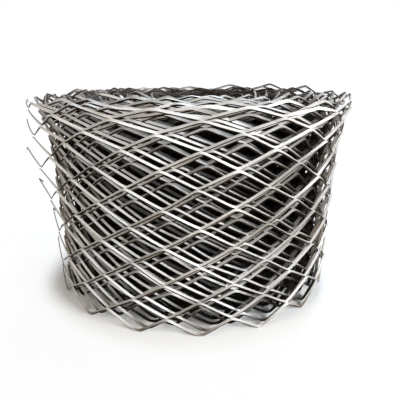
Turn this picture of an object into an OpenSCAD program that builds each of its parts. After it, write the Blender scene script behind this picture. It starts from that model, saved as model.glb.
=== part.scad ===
// Coil of expanded metal mesh for bedding in brickwork, standing on its end.
// The wound body is one turned solid with its bore, and its turns show as crests on both ends.
// The diamonds of the outermost turn are cut into the side, so its strands stand round them.

/* [Coil] */
// Height of the coil, which is the width of the wound strip
coil_h = 170; // [120:1:220]
// Diameter over the outer turn where it stands on the ground
bottom_d = 260; // [240:1:280]
// Diameter over the outer turn where the flare starts
waist_d = 267; // [250:1:285]
// Diameter over the widest part of the flared top
rim_d = 292; // [287:1:320]
// Height of the flared part
flare_h = 58; // [40:1:80]
// How far the last row of tips leans back in from the widest part
rim_lean = 2; // [0:0.5:4]
// Diameter of the bore inside the first turn
bore_d = 76; // [50:1:100]

/* [Turns] */
// Distance from one turn to the next
turn_pitch = 4.2; // [3:0.1:6]
// Depth of the grooves between the turns on both ends
groove_h = 6; // [2:0.5:10]
// Width of the crest of each turn on both ends
crest_w = 1.4; // [0.8:0.1:2]

/* [Mesh] */
// Length of one diamond along the strip at the waist
diamond_l = 49; // [44:1:58]
// Length of one strand from bond to bond
strand_l = 28.6; // [27:0.1:34]
// Rows of strands from one edge of the strip to the other
strand_rows = 13; // [9:2:15]
// Width of a strand as it shows on the side of the coil
strand_w = 2.4; // [1.5:0.1:3]
// Depth of the diamonds between the strands of the outermost turn
diamond_depth = 4; // [1:0.1:5]

/* [Hidden] */
$fn = 96;

bore_r = bore_d / 2;
turn_count = round((bottom_d / 2 - bore_r) / turn_pitch);
flare_z = coil_h - flare_h;
lip_share = 0.16;
lip_h = flare_h * lip_share;
flare_steps = 4;
flare_power = 2;
diamond_count = round(PI * waist_d / diamond_l);
diamond_angle = 360 / diamond_count;
front_angle = -88.4;
closest_rows = 0.3;
past_edge = 1.2;

// Radius of the outer turn at height z: a slight taper, then a flare that leans back at the lip
function flare_r(z) =
    let (share = (z - flare_z) / (flare_h - lip_h))
    waist_d / 2 + (rim_d - waist_d) / 2 * pow(share, flare_power);
function outer_r(z) =
    z <= flare_z ? bottom_d / 2 + (waist_d - bottom_d) / 2 * z / flare_z
    : z <= coil_h - lip_h ? flare_r(z)
    : rim_d / 2 - rim_lean * (z - coil_h + lip_h) / lip_h;

// Profile points up the outer wall, at the heights where its slope changes
wall_heights = [for (i = [0 : flare_steps]) flare_z + (flare_h - lip_h) * i / flare_steps];
outer_wall = [for (z = wall_heights) [outer_r(z), z]];

// Crests and grooves of one end as profile points, from the bore out to radius r_out
function turn_edge(i, r_out) = bore_r + (r_out - bore_r) * i / turn_count;
function end_points(r_out, z_crest, z_groove) =
    let (half_groove = ((r_out - bore_r) / turn_count - crest_w) / 2)
    [
        for (i = [0 : turn_count - 1])
            each [
                [i == 0 ? bore_r : turn_edge(i, r_out) + half_groove, z_crest],
                [i == turn_count - 1 ? r_out : turn_edge(i + 1, r_out) - half_groove, z_crest],
                if (i < turn_count - 1) [turn_edge(i + 1, r_out), z_groove]
            ]
    ];
function reversed(list) = [for (i = [len(list) - 1 : -1 : 0]) list[i]];

// Every strand has the same length, so the rows close up where the coil is wider
function half_diamond(z) = outer_r(z) * sin(diamond_angle / 2);
function row_rise(row) =
    let (half_l = half_diamond(coil_h * (row + 0.5) / strand_rows))
    sqrt(max(pow(strand_l, 2) - pow(half_l, 2), pow(strand_l * closest_rows, 2)));
function rise_to(level, row = 0) = row >= level ? 0 : row_rise(row) + rise_to(level, row + 1);
function level_z(level) = coil_h * rise_to(level) / rise_to(strand_rows);

// The wound strip: every turn lies on the one before it, round an open bore
module wound_body() {
    rotate_extrude()
        polygon(concat(
            end_points(outer_r(0), 0, groove_h),
            outer_wall,
            reversed(end_points(outer_r(coil_h), coil_h, coil_h - groove_h))
        ));
}

// Corners of an opening round its centre, and a notch whose sides run on past an edge of the strip
function diamond_points(half_l, down, up) = [[-half_l, 0], [0, -down], [half_l, 0], [0, up]];
function notch_points(half_l, tip) =
    let (side = half_l * past_edge, beyond = tip * (1 - past_edge))
    [[0, tip], [-side, beyond], [side, beyond]];

// Opening between four strands, centred on a level
module diamond_opening(level) {
    z = level_z(level);
    up = level < strand_rows ? level_z(level + 1) - z : 0;
    down = level > 0 ? z - level_z(level - 1) : 0;
    at_edge = up * down == 0;
    half_l = half_diamond(z);
    low = at_edge ? max(up, down) : min(up, down);
    shrink = 1 - strand_w / 2 * sqrt(pow(half_l, 2) + pow(low, 2)) / (half_l * low);
    points = at_edge ? notch_points(half_l, up - down) : diamond_points(half_l, down, up);
    radii = [outer_r(z - down), outer_r(z), outer_r(z + up)];
    translate([0, 0, z])
        rotate([90, 0, 90])
            translate([0, 0, min(radii) - diamond_depth])
                linear_extrude(max(radii) - min(radii) + diamond_depth * 2)
                    scale(shrink)
                        polygon(points);
}

// All the openings at one height, half a diamond further round on every second level
module level_openings(level) {
    for (i = [0 : diamond_count - 1])
        rotate([0, 0, front_angle + (i + (1 - level % 2) / 2) * diamond_angle])
            diamond_opening(level);
}

module mesh_coil() {
    color("silver")
        difference() {
            wound_body();
            for (level = [0 : strand_rows])
                level_openings(level);
        }
}

mesh_coil();
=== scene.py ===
import math

import bmesh
import bpy
import numpy as np
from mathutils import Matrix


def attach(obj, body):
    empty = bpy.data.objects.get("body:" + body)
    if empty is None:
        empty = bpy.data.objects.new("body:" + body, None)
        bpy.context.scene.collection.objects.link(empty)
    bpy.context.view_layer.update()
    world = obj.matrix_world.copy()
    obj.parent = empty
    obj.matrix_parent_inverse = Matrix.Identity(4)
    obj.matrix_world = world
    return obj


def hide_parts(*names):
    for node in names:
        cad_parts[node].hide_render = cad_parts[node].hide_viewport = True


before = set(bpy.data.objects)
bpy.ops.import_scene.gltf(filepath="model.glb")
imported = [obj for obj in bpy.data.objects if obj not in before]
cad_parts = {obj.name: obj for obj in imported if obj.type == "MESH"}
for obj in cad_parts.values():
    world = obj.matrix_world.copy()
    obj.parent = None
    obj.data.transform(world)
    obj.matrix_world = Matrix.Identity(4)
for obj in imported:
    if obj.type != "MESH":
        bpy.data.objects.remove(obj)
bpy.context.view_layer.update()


# Camera: held close to the coil, a little above its top
viewPoint = {
    "distance": 0.3827,  # from the coil's axis, in front
    "height": 0.188,
    "pitchDown": 17.7,  # degrees
    "turnRight": 0.93,
    "lens": 36.18,
    "sensor": 36,
}


def buildCamera():
    camera = bpy.data.objects.new("camera", bpy.data.cameras.new("camera"))
    camera.data.lens = viewPoint["lens"]
    camera.data.sensor_width = viewPoint["sensor"]
    camera.data.clip_start = 0.01
    camera.location = (0, -viewPoint["distance"], viewPoint["height"])
    camera.rotation_euler = (
        math.radians(90 - viewPoint["pitchDown"]),
        0,
        math.radians(-viewPoint["turnRight"]),
    )
    bpy.context.scene.collection.objects.link(camera)
    bpy.context.scene.camera = camera


# One socket of a shader, so that maths on it reads as an expression
class Value:
    def __init__(self, tree, socket):
        self.tree = tree
        self.socket = socket

    def maths(self, operation, first, second):
        node = self.tree.nodes.new("ShaderNodeMath")
        node.operation = operation
        for index, item in enumerate((first, second)):
            if isinstance(item, Value):
                self.tree.links.new(item.socket, node.inputs[index])
            else:
                node.inputs[index].default_value = item
        return Value(self.tree, node.outputs[0])

    def __add__(self, other):
        return self.maths("ADD", self, other)

    def __radd__(self, other):
        return self.maths("ADD", other, self)

    def __sub__(self, other):
        return self.maths("SUBTRACT", self, other)

    def __rsub__(self, other):
        return self.maths("SUBTRACT", other, self)

    def __mul__(self, other):
        return self.maths("MULTIPLY", self, other)

    def __rmul__(self, other):
        return self.maths("MULTIPLY", other, self)


# A material's node tree, with one method that adds any node
class Finish:
    def __init__(self, name):
        self.material = bpy.data.materials.new(name)
        self.material.use_nodes = True
        self.tree = self.material.node_tree
        self.shader = self.tree.nodes["Principled BSDF"]

    def add(self, kind, settings=None, inputs=None, output=0):
        node = self.tree.nodes.new(kind)
        for key, item in (settings or {}).items():
            setattr(node, key, item)
        for key, item in (inputs or {}).items():
            self.join(item, node.inputs[key])
        return Value(self.tree, node.outputs[output])

    def mix(self, share, under, coat):
        inputs = {"Factor": share, "A": under, "B": coat}
        return self.add("ShaderNodeMix", {"data_type": "RGBA"}, inputs, output=2)

    def join(self, item, socket):
        if isinstance(item, Value):
            self.tree.links.new(item.socket, socket)
        else:
            socket.default_value = item

    def shade(self, **sockets):
        for name, item in sockets.items():
            self.join(item, self.shader.inputs[name.replace("_", " ")])
        return self.material


# The strip as it is made: sheet metal slit and stretched, so the strands stand on edge
strip = {
    "strandWidth": 0.0019,
    "strandThick": 0.0013,
    "strandLean": 57,  # degrees between a strand's width and the face of the strip
    "strandLength": 0.0282,  # from bond to bond
    "strandRows": 13,
    "halfDiamond": 0.0246,  # along the strip, at the waist
    "bendSharpness": 0.975,  # nearer 1 is a tighter bend at each bond
    "lowestBend": 0.92,  # the tips it stands on are rounder
    "innerWiden": 0.6,  # the turns behind are drawn wider below the top, and close the view
    "widenFrom": 4.4,  # turns past the front
    "flankSooner": 0.8,  # the share of those turns by which it starts sooner on the flanks
}

# The coil, seen from above it winds inward from the loose end at the left
coil = {
    "waistRadius": 0.1313,
    "waistHeight": 0.112,
    "bottomTaper": 0.021,  # narrower at the ground, as a share of the waist
    "flareRise": 0.047,
    "flare": 0.096,  # wider at the top in front, as a share of the waist
    "sideFlare": 0.5,  # how much of that flare is left at the sides
    "lipHeight": 0.159,
    "lipLean": 1.2,  # how fast the last tips lean back in
    "turnPitch": 0.0042,
    "boreRadius": 0.0385,
    "looseEnd": -62.9,  # degrees from the front, to the left
    "bedding": (0, 0.31, 1.12, 0.48, 1.2, 0.54),  # half diamonds from the outer turn's bonds
    "bedded": 0.2,  # share of a turn to each side of the front where the bedding holds
    "springOut": 0.008,  # the loose end stands off the coil
    "springOver": 3.0,  # half diamonds
    "springAt": 0.125,
    "springHeight": 0.035,
    "stubs": (0.35, 0.85),  # half diamonds that are left of the falling strands where it is cut
    "cutStub": 0.04,  # and of the rising ones, which are cut at their bonds
    "endTwist": 42,  # degrees that the last strands lie flatter
    "twistOver": 1.6,
    "endThin": 0.55,  # how much thinner the cut strands are
    "thinOver": 1.3,
    "backLift": 0.0056,  # the outer turn rides up behind
    "backLiftFrom": 0.1,  # share of a turn past the front
    "backLiftTo": 0.66,
}


# The coil's radius at a place over its radius at the waist
def widening(height, angle=0.0):
    low = coil["bottomTaper"] * (height / coil["waistHeight"] - 1)
    share = np.clip((height - coil["waistHeight"]) / coil["flareRise"], 0, None)
    side = 1 - (1 - coil["sideFlare"]) * (1 - np.cos(2 * angle)) / 2
    lip = coil["lipLean"] * np.clip(height - coil["lipHeight"], 0, None)
    return 1 + np.where(height < coil["waistHeight"], low, side * coil["flare"] * share**2 - lip)


# Heights of the bonds; the rows close up where the strip is stretched wider
def levelHeights():
    heights = [0.0]
    for row in range(strip["strandRows"]):
        step = 0.0
        for guess in range(4):
            half = strip["halfDiamond"] * float(widening(np.float64(heights[-1] + step / 2)))
            step = math.sqrt(strip["strandLength"] ** 2 - half**2)
        heights.append(heights[-1] + step)
    return np.array(heights)


# How far round the coil a place on the strip lies, from the loose end
def woundAngle(column):
    outer = coil["waistRadius"]
    pitch = coil["turnPitch"] / (2 * math.pi)
    return (outer - np.sqrt(outer**2 - 2 * pitch * column * strip["halfDiamond"])) / pitch


# The place on the strip that lies a number of turns past the front
def columnAt(turn):
    wound = 2 * math.pi * (turn - coil["looseEnd"] / 360)
    outer = coil["waistRadius"]
    pitch = coil["turnPitch"] / (2 * math.pi)
    return (outer**2 - (outer - pitch * wound) ** 2) / (2 * pitch * strip["halfDiamond"])


# Brings the bonds of each turn to their bedding at the front
def slipAt(turn):
    count = len(slips)
    drift = columnAt(np.arange(count)) - columnAt(0) + np.array(slips)
    shift = (drift + 1) % 2 - 1
    edges = (np.arange(count)[:, None] + np.array((-coil["bedded"], coil["bedded"]))).ravel()
    return np.interp(turn, edges, np.repeat(shift, 2))


levels = levelHeights()
turnCount = (coil["waistRadius"] - coil["boreRadius"]) / coil["turnPitch"]
stripLength = math.pi * (coil["waistRadius"] + coil["boreRadius"]) * turnCount
diamondCount = int(stripLength / (2 * strip["halfDiamond"]))
print("levels", [round(float(h) * 1000, 1) for h in levels])
print("turns", round(turnCount, 1), "strip", round(stripLength, 2), "m,", diamondCount, "diamonds")

# What is not quite regular in a coil wound by hand
slack = {
    "seed": 11,
    "bond": (0.0004, 0.0004, 0.0003, 7),  # along the strip, out of it, up, and degrees of lean
    "topTip": (0.0013, 0.0018, 0.0011, 26),
    "upMost": 0.0018,  # no bond strays further up or down
    "leanMost": (-40, 30),
    "within": 1.2,  # how much more the bonds stray between the turns
    "withinFrom": 0.8,  # turns past the front
    "turnOut": 0.0006,  # the turns sway in and out
    "outSways": (1.73, 0.61),  # how often, two waves a radian
    "turnUp": 0.0012,  # every second turn stands higher
    "upSway": (0.5, 2.1),  # how much that varies, and how often
    "upSwayFrom": 2,
}

spare = 4  # columns of bonds past each end of the strip
looseness = np.random.default_rng(slack["seed"])
bondCount = (2 * (diamondCount + spare), strip["strandRows"] + 1, 4)
bondStray = looseness.normal(0, 1, bondCount)
stubLengths = looseness.uniform(*coil["stubs"], strip["strandRows"])
stubLengths[1::2] = coil["cutStub"]
slips = coil["bedding"] + tuple(looseness.uniform(0, 2, int(turnCount) + 2))

# Where the steel is worn and where shade is painted on it, as shares that the strands carry to its
# finish
wear = {
    "paintedShadeFrom": 3.0,  # turns past the front where painted shade darkens the steel between them
    "paintedShadeTo": 5.5,
    "top": 0.003,  # the tips at the top stay bright, free of the painted shade, down to here
    "topFade": 0.014,
    "front": -12,  # degrees; the middle of the side without painted shade
    "flankFrom": 30,  # degrees from there; the flanks and the back get painted shade in a brown tarnish tone
    "flankTo": 64,
    "flankDeeper": 2.3,  # turns; on the flanks the painted shade between the turns starts nearer the outside
    "flankOuter": 0.3,  # share of the painted shade and tarnish that is left on the outer turn
    "outerOver": 0.7,  # turns
    "endDarker": 0.8,  # and the same darker tone on the rising strands at the loose end
    "endOver": 1.4,
    "footDeeper": 3.5,  # turns; the same painted shade starts nearer the outside at the foot
    "footHeight": 0.03,
    "grimeAndShadeTo": 0.02,  # the lowest tips get grime and painted shade up to here
}


# The bar of one strand over one diamond, laid flat: x along it, y its width, z its thickness
def strandBar(stations):
    bm = bmesh.new()
    width, thick = strip["strandWidth"], strip["strandThick"]
    bmesh.ops.create_grid(bm, x_segments=1, y_segments=1, size=0.5)
    bmesh.ops.delete(bm, geom=list(bm.faces), context="FACES_ONLY")
    for vert in bm.verts:
        vert.co = (0, vert.co.x * width, vert.co.y * thick)
    ring = list(bm.edges)
    half = (0, *stations, 1)
    places = [t / 2 for t in half] + [(1 + t) / 2 for t in half[1:]]
    for before, place in zip(places, places[1:]):
        grown = bmesh.ops.extrude_edge_only(bm, edges=ring)["geom"]
        ring = [item for item in grown if isinstance(item, bmesh.types.BMEdge)]
        moved = [item for item in grown if isinstance(item, bmesh.types.BMVert)]
        bmesh.ops.translate(bm, vec=(place - before, 0, 0), verts=moved)
    bmesh.ops.recalc_face_normals(bm, faces=bm.faces)
    return bm


# The chart runs in half diamonds along a strand and in widths across it, past 1 where sheared
def chartBar(bm):
    chart = bm.loops.layers.uv.new("strand")
    width = strip["strandWidth"]
    for face in bm.faces:
        face.normal_update()
        sheared = abs(face.normal.y) > 0.5
        for loop in face.loops:
            spot = loop.vert.co
            across = 2 + spot.z / width if sheared else spot.y / width
            loop[chart].uv = (2 * spot.x, across)


def arrayOut(piece, count, step, joined=False):
    array = piece.modifiers.new("array", "ARRAY")
    array.count = count
    array.use_relative_offset = False
    array.use_constant_offset = True
    array.constant_offset_displace = step
    array.use_merge_vertices = joined


# All the strands of a stretch of the strip, laid flat: x in diamonds and a row at each whole y
def flatStrip(name, firstDiamond, lastDiamond, stations):
    bm = strandBar(stations)
    bmesh.ops.translate(bm, vec=(firstDiamond, 0, 0), verts=bm.verts)
    chartBar(bm)
    bar = bpy.data.meshes.new(name)
    bm.to_mesh(bar)
    bm.free()
    piece = bpy.data.objects.new(name, bar)
    bpy.context.scene.collection.objects.link(piece)
    arrayOut(piece, lastDiamond - firstDiamond, (1, 0, 0), joined=True)
    arrayOut(piece, strip["strandRows"], (0, 1, 0))
    graph = bpy.context.evaluated_depsgraph_get()
    laid = bpy.data.meshes.new_from_object(piece.evaluated_get(graph))
    piece.modifiers.clear()
    piece.data = laid
    bpy.data.meshes.remove(bar)
    bm = bmesh.new()
    bm.from_mesh(laid)
    bmesh.ops.holes_fill(bm, edges=bm.edges, sides=4)
    bmesh.ops.recalc_face_normals(bm, faces=bm.faces)
    bm.to_mesh(laid)
    bm.free()
    return piece


# How high a strand has risen, from -1 at its low bond to 1 at its high one, and how steeply
def zigzagAt(column, row):
    run = math.pi * (column - row - 0.5)
    wave = np.sin(run)
    lowest = (row == 0) & (wave < 0)
    sharp = np.where(lowest, strip["lowestBend"], strip["bendSharpness"])
    zigzag = np.arcsin(sharp * wave) / np.arcsin(sharp)
    slope = math.pi * sharp * np.cos(run) / np.sqrt(1 - (sharp * wave) ** 2) / np.arcsin(sharp)
    return zigzag, slope


# The spiral, wound inward from the loose end, with each turn bedded at its own shift
def spiralAt(column):
    turn = woundAngle(column) / (2 * math.pi) + coil["looseEnd"] / 360
    wound = woundAngle(column + slipAt(turn))
    heading = math.radians(coil["looseEnd"]) + wound
    radius = coil["waistRadius"] - coil["turnPitch"] / (2 * math.pi) * wound
    often, seldom = slack["outSways"]
    sway = np.sin(often * wound) + np.sin(seldom * wound + 1)
    return turn, heading, radius + slack["turnOut"] * sway


# The turns behind stand unevenly high, and the outer one rides up at the back
def liftAt(turn):
    amount, often = slack["upSway"]
    settled = np.clip(turn - slack["upSwayFrom"], 0, None)
    uneven = 1 - np.cos(math.pi * np.clip(turn - 1, 0, None))
    uneven = slack["turnUp"] * uneven * (1 + amount * np.sin(often * settled))
    behind = (turn - coil["backLiftFrom"]) / (coil["backLiftTo"] - coil["backLiftFrom"])
    return uneven + coil["backLift"] * np.sin(math.pi * np.clip(behind, 0, 1)) ** 2


# The loose end springs off the coil, most of all near the top
def springAt(column, height):
    spring = coil["springOut"] * np.clip(1 - column / coil["springOver"], 0, None) ** 2
    return spring * np.exp(-(((height - coil["springAt"]) / coil["springHeight"]) ** 2))


# Bonds stray a little from their places, and the free tips at the top stray more
def strayAt(column, row, zigzag, turn, height):
    low = np.floor(column - row).astype(int)
    falling = low % 2  # the strand's low bond is then the later one
    valley = low + falling + row + spare
    peak = low + 1 - falling + row + spare
    reach = np.tile(slack["bond"], (strip["strandRows"] + 1, 1))
    reach[-1] = slack["topTip"]
    blend = ((1 + zigzag) / 2)[:, None]
    moved = bondStray * reach
    moved = moved[valley, row] * (1 - blend) + moved[peak, row + 1] * blend
    within = 1 + slack["within"] * np.clip(turn - slack["withinFrom"], 0, 1)
    along, out, up, lean = moved.T
    up = np.clip(up * within, -slack["upMost"], slack["upMost"])
    up = up * np.clip(height / levels[1], 0, 1)
    return along * within, out * within, up, np.clip(lean, *slack["leanMost"])


# Shares of a point's way from the middle without painted shade to the flanks with painted shade
# and tarnish, and down from the top
def flankAt(heading):
    fromFront = heading - math.radians(wear["front"])
    aside = np.degrees(np.abs((fromFront + math.pi) % (2 * math.pi) - math.pi))
    return np.clip((aside - wear["flankFrom"]) / (wear["flankTo"] - wear["flankFrom"]), 0, 1)


def topAt(height):
    return np.clip((height - levels[-1] + wear["top"]) / wear["topFade"] + 1, 0, 1)


# Where a point of the bar lies off its strand's line: along the strip, up and out
def barOffsets(onWidth, through, lean, slope, wide, rowRise):
    halfWidth = strip["strandWidth"] / 2
    widthUp, widthOut = -np.cos(lean), np.sin(lean)
    # the strand's face is square to its own run and to the direction of its width
    runAlong = strip["halfDiamond"] * wide
    runUp = slope * (rowRise + halfWidth * widthUp)
    runOut = slope * halfWidth * widthOut
    faceAlong = runOut * widthUp - runUp * widthOut
    faceUp = runAlong * widthOut
    faceOut = -runAlong * widthUp
    share = through / np.sqrt(faceAlong**2 + faceUp**2 + faceOut**2)
    offUp = onWidth * widthUp + faceUp * share
    offOut = onWidth * widthOut + faceOut * share
    return faceAlong * share, offUp, offOut


def setShare(mesh, name, values):
    mesh.attributes.new(name, "FLOAT", "POINT").data.foreach_set("value", values)


# Stretches the flat bars into diamonds and winds them on the coil
def windUp(mesh):
    flat = np.empty(len(mesh.vertices) * 3)
    mesh.vertices.foreach_get("co", flat)
    diamond, across, through = flat.reshape(-1, 3).T
    row = np.rint(across).astype(int)
    across = across - row
    column = 2 * diamond
    column = np.where(column < 0, column * stubLengths[row], column)

    zigzag, slope = zigzagAt(column, row)
    height = np.interp(row + (1 + zigzag) / 2, np.arange(len(levels)), levels)
    turn, heading, radius = spiralAt(column)
    wide = widening(height, heading)
    step = 0.0001
    rise = widening(height + step, heading) - widening(height - step, heading)
    tilt = np.arctan(rise / (2 * step) * radius)
    top = topAt(height)
    flank = flankAt(heading)

    strayAlong, strayOut, strayUp, strayLean = strayAt(column, row, zigzag, turn, height)
    twist = coil["endTwist"] * np.clip(1 - column / coil["twistOver"], 0, 1)
    lean = np.radians(strip["strandLean"] - twist + strayLean)
    widen = np.clip(turn - strip["widenFrom"] * (1 - strip["flankSooner"] * flank), 0, 1)
    thin = 1 - coil["endThin"] * np.clip(coil["thinOver"] - column, 0, 1)
    broad = thin * (1 + strip["innerWiden"] * widen * (1 - top))
    onWidth = zigzag * strip["strandWidth"] / 2 + across * broad
    rowRise = (levels[row + 1] - levels[row]) / 2
    offAlong, offUp, offOut = barOffsets(onWidth, through * thin, lean, slope, wide, rowRise)

    out = radius * wide + springAt(column, height) + strayOut
    out = out + offOut * np.cos(tilt) + offUp * np.sin(tilt)
    up = height + liftAt(turn) + strayUp + offUp * np.cos(tilt) - offOut * np.sin(tilt)
    angle = heading + (offAlong + strayAlong) / out
    place = np.stack([out * np.sin(angle), -out * np.cos(angle), np.maximum(up, 0)], axis=1)
    mesh.vertices.foreach_set("co", place.ravel())

    # the depth drives the painted shade between the turns; on the flanks and at the foot it starts
    # nearer the outside
    foot = np.clip(1 - height / wear["footHeight"], 0, 1) * np.clip(turn, 0, 1)
    setShare(mesh, "depth", turn + wear["flankDeeper"] * flank + wear["footDeeper"] * foot)
    setShare(mesh, "top", top)
    # painted shade on the flanks and the back, in a tarnish tone, with less of it on the outer
    # turn
    tarnishedAndShaded = flank * np.clip(turn / wear["outerOver"], wear["flankOuter"], 1)
    # a darker tone on the rising strands at the loose end
    darkerEnd = wear["endDarker"] * np.clip(wear["endOver"] - column, 0, 1) * (slope > 0)
    setShare(mesh, "flank", np.maximum(tarnishedAndShaded, darkerEnd))
    mesh.update()


# Bright steel: the sheet's own skin on the faces, dull where it was sheared, and near black there
# as painted shade
steel = {
    "skin": (0.84, 0.87, 0.93, 1),
    "dull": (0.50, 0.46, 0.40, 1),
    # painted shade on the flanks and the back, in a brown tarnish tone
    "tarnishAndShade": (0.14, 0.1, 0.065, 1),
    # grime and painted shade at the foot
    "grimeAndShade": (0.15, 0.11, 0.075, 1),
    "rubbed": (0.93, 0.93, 0.92, 1),  # along the edges
    # the cut steel's dull tone, darkened to near black as painted shade
    "sheared": (0.032, 0.02, 0.012, 1),
    "paintedShadeTone": (0.012, 0.01, 0.008, 1),  # painted shade between the turns
    "metal": 0.85,
    "roughness": (0.56, 0.78),  # of the skin and where it is dull
    "shearedRougher": 0.1,
    "grainRougher": 0.2,
    "sheen": 0.15,  # low, so that the faces turned from the lamps stay dark
    "patchScale": 45,
    "grainScale": 700,
    "streakScale": (2.5, 9.0, 1.0),  # in a half diamond along a strand, and in a width across it
    "streakStep": 6,  # how much the streaks differ from turn to turn
    "streakMost": 0.35,
    "edge": (0.34, 0.5),  # widths from the middle, where the edges are rubbed
    "rubbedMost": 0.7,
    "grimeAndShadeMost": 0.9,
    "grimeAndShadePatchy": 1.3,  # nearer 1 is patchier
    "tarnishAndShadeMost": 0.95,
    "tarnishAndShadePatchy": 1.25,
    "shadeFreeTop": 0.5,  # share of the painted shade and tarnish on the flanks that the top is free of
    "brightTop": (0.55, 0.7),  # share of the painted shade between the turns that it is free of, and how patchily
    "bump": (0.5, 0.00008),  # strength, and the height of streaks and grain
}


def brightSteel():
    finish = Finish("bright steel")
    place = finish.add("ShaderNodeTexCoord", output="Object")
    height = finish.add("ShaderNodeSeparateXYZ", inputs={"Vector": place}, output="Z")
    chart = finish.add("ShaderNodeUVMap", {"uv_map": "strand"})
    across = finish.add("ShaderNodeSeparateXYZ", inputs={"Vector": chart}, output="Y")
    depth, top, flank = (
        finish.add("ShaderNodeAttribute", {"attribute_name": name}, output="Fac")
        for name in ("depth", "top", "flank")
    )
    sheared = finish.add("ShaderNodeMath", {"operation": "GREATER_THAN"}, {0: across, 1: 1.0})
    # patches, streaks of the rolling along each strand, and fine grain
    patches = finish.add(
        "ShaderNodeTexNoise",
        inputs={"Vector": place, "Scale": steel["patchScale"], "Detail": 4.0},
    )
    stretched = finish.add(
        "ShaderNodeVectorMath", {"operation": "MULTIPLY"}, {0: chart, 1: steel["streakScale"]}
    )
    streaks = finish.add(
        "ShaderNodeTexNoise",
        {"noise_dimensions": "4D"},
        {"Vector": stretched, "W": depth * steel["streakStep"], "Scale": 1.0, "Detail": 3.0},
    )
    grain = finish.add(
        "ShaderNodeTexNoise",
        inputs={"Vector": place, "Scale": steel["grainScale"], "Detail": 2.0},
    )
    # edges rubbed bright, grime and painted shade at the foot, and painted shade between the turns
    fromMiddle = finish.add("ShaderNodeMath", {"operation": "ABSOLUTE"}, {0: across})
    edgeFrom, edgeTo = steel["edge"]
    rubbed = finish.add(
        "ShaderNodeMapRange",
        {"interpolation_type": "SMOOTHSTEP"},
        {"Value": fromMiddle, "From Min": edgeFrom, "From Max": edgeTo},
    )
    grimeAndShade = finish.add(
        "ShaderNodeMapRange",
        inputs={"Value": height, "From Max": wear["grimeAndShadeTo"], "To Min": 1.0, "To Max": 0.0},
    )
    dark = finish.add(
        "ShaderNodeMapRange",
        inputs={"Value": depth, "From Min": wear["paintedShadeFrom"], "From Max": wear["paintedShadeTo"]},
    )
    # grime and painted shade at the foot
    grimeAndShade = grimeAndShade * (steel["grimeAndShadePatchy"] - patches) * steel["grimeAndShadeMost"]
    # painted shade and tarnish on the flanks, with less of it at the top
    tarnishAndShade = flank * (1 - top * steel["shadeFreeTop"])
    tarnishAndShade = tarnishAndShade * (steel["tarnishAndShadePatchy"] - patches) * steel["tarnishAndShadeMost"]
    rubbed = rubbed * (1 - sheared) * (1 - flank) * patches * steel["rubbedMost"]
    free, patchy = steel["brightTop"]
    # painted shade between the turns, lifted off the tips at the top
    dark = dark * (1 - top * (free + patches * patchy))
    tone = finish.mix(patches, steel["dull"], steel["skin"])
    tone = finish.mix(streaks * steel["streakMost"], tone, steel["dull"])
    tone = finish.mix(grimeAndShade, tone, steel["grimeAndShade"])
    tone = finish.mix(tarnishAndShade, tone, steel["tarnishAndShade"])
    tone = finish.mix(rubbed, tone, steel["rubbed"])
    # near-black sheared edges: their dull tone with painted shade
    tone = finish.mix(sheared, tone, steel["sheared"])
    tone = finish.mix(dark, tone, steel["paintedShadeTone"])
    smooth, rough = steel["roughness"]
    roughness = rough - patches * (rough - smooth)
    roughness = roughness + sheared * steel["shearedRougher"]
    roughness = roughness + (grain - 0.5) * steel["grainRougher"]
    strength, distance = steel["bump"]
    normal = finish.add(
        "ShaderNodeBump",
        inputs={"Height": streaks + grain, "Strength": strength, "Distance": distance},
    )
    return finish.shade(
        Base_Color=tone,
        Metallic=steel["metal"],
        Roughness=roughness,
        Specular_IOR_Level=steel["sheen"],
        Normal=normal,
    )


# The first diamond of each stretch, and where its half diamonds are cut across, plainer inside
stretches = {
    "outerTurns": (-1, (0.03, 0.07, 0.12, 0.2, 0.35, 0.65, 0.8, 0.88, 0.93, 0.97)),
    "middleTurns": (50, (0.05, 0.14, 0.3, 0.7, 0.86, 0.95)),
    "innerTurns": (140, (0.05, 0.14, 0.3, 0.7, 0.86, 0.95)),
}


def buildCoil():
    finish = brightSteel()
    lasts = [first for first, stations in stretches.values()][1:] + [diamondCount]
    for (name, (first, stations)), last in zip(stretches.items(), lasts):
        piece = flatStrip(name, first, last, stations)
        windUp(piece.data)
        piece.data.materials.append(finish)
        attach(piece, "root")
        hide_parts("mesh_coil")
        print(name, len(piece.data.polygons) * 2, "triangles")


# Room: a pale floor and a pale wall all round, under a grey ceiling
room = {
    "wallRadius": 1.7,
    "wallHeight": 0.75,
    "tone": (0.96, 0.96, 0.96, 1),
    "ceiling": 0.06,
    "fades": ((0.13, 0.154, 0.86), (0.154, 0.34, 0.14)),  # from, to and how far it turns white
}


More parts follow.
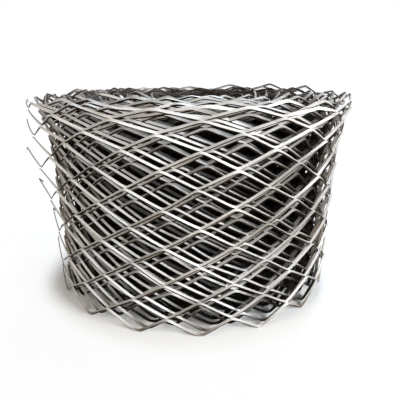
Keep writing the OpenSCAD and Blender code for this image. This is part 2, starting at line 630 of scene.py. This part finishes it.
def buildRoom():
    bm = bmesh.new()
    bmesh.ops.create_circle(bm, cap_ends=True, segments=96, radius=room["wallRadius"])
    rim = [edge for edge in bm.edges if edge.is_boundary]
    grown = bmesh.ops.extrude_edge_only(bm, edges=rim)["geom"]
    top = [item for item in grown if isinstance(item, bmesh.types.BMVert)]
    bmesh.ops.translate(bm, vec=(0, 0, room["wallHeight"]), verts=top)
    bmesh.ops.recalc_face_normals(bm, faces=bm.faces)
    mesh = bpy.data.meshes.new("floor")
    bm.to_mesh(mesh)
    bm.free()
    floor = bpy.data.objects.new("floor", mesh)
    bpy.context.scene.collection.objects.link(floor)

    finish = Finish("pale floor")
    finish.shade(Base_Color=room["tone"], Roughness=0.9)
    place = finish.add("ShaderNodeTexCoord", output="Object")
    away = finish.add("ShaderNodeVectorMath", {"operation": "LENGTH"}, {0: place}, "Value")
    far = 0
    for near, beyond, share in room["fades"]:
        far = far + finish.add(
            "ShaderNodeMapRange",
            {"interpolation_type": "SMOOTHSTEP"},
            {"Value": away, "From Min": near, "From Max": beyond, "To Max": share},
        )
    seen = 0
    for kind in ("Camera", "Glossy", "Transmission"):
        seen = seen + finish.add("ShaderNodeLightPath", output=f"Is {kind} Ray")
    white = finish.add("ShaderNodeEmission", inputs={"Strength": 1.0})
    lit = Value(finish.tree, finish.shader.outputs[0])
    mixed = finish.add("ShaderNodeMixShader", inputs={0: far * seen, 1: lit, 2: white})
    finish.join(mixed, finish.tree.nodes["Material Output"].inputs["Surface"])
    mesh.materials.append(finish.material)

    world = bpy.data.worlds.new("ceiling")
    world.use_nodes = True
    bpy.context.scene.world = world
    back = world.node_tree.nodes["Background"]
    back.inputs["Color"].default_value = (1, 1, 1, 1)
    back.inputs["Strength"].default_value = room["ceiling"]


# Square lamps; the angles are degrees round the coil from the front, and up from its middle,
# and a glow of 1 is as bright as white paper
lamps = {
    "key": {"around": 48, "up": 12, "size": 0.5, "glow": 34, "tint": (0.97, 0.99, 1)},
    "warm side": {"around": -42, "up": 40, "size": 0.5, "glow": 5.8, "tint": (1, 0.89, 0.75)},
    "cool back": {"around": 165, "up": 52, "size": 0.7, "glow": 11, "tint": (0.78, 0.89, 1)},
}
lampDistance = 1.2
lampAim = 0.1  # height that they face


def hangLamp(name, around, up, size, glow, tint):
    lamp = bpy.data.objects.new(name, bpy.data.lights.new(name, "AREA"))
    lamp.data.size = size
    lamp.data.energy = glow * math.pi * size**2
    lamp.data.color = tint
    around, up = math.radians(around), math.radians(up)
    away = lampDistance * math.cos(up)
    height = lampAim + lampDistance * math.sin(up)
    lamp.location = (away * math.sin(around), -away * math.cos(around), height)
    lamp.rotation_euler = (math.pi / 2 - up, 0, around)
    bpy.context.scene.collection.objects.link(lamp)


bpy.context.scene.view_settings.view_transform = "Standard"
buildCamera()
buildCoil()
buildRoom()
for name, lamp in lamps.items():
    hangLamp(name, **lamp)
print("room and", len(lamps), "lamps set")
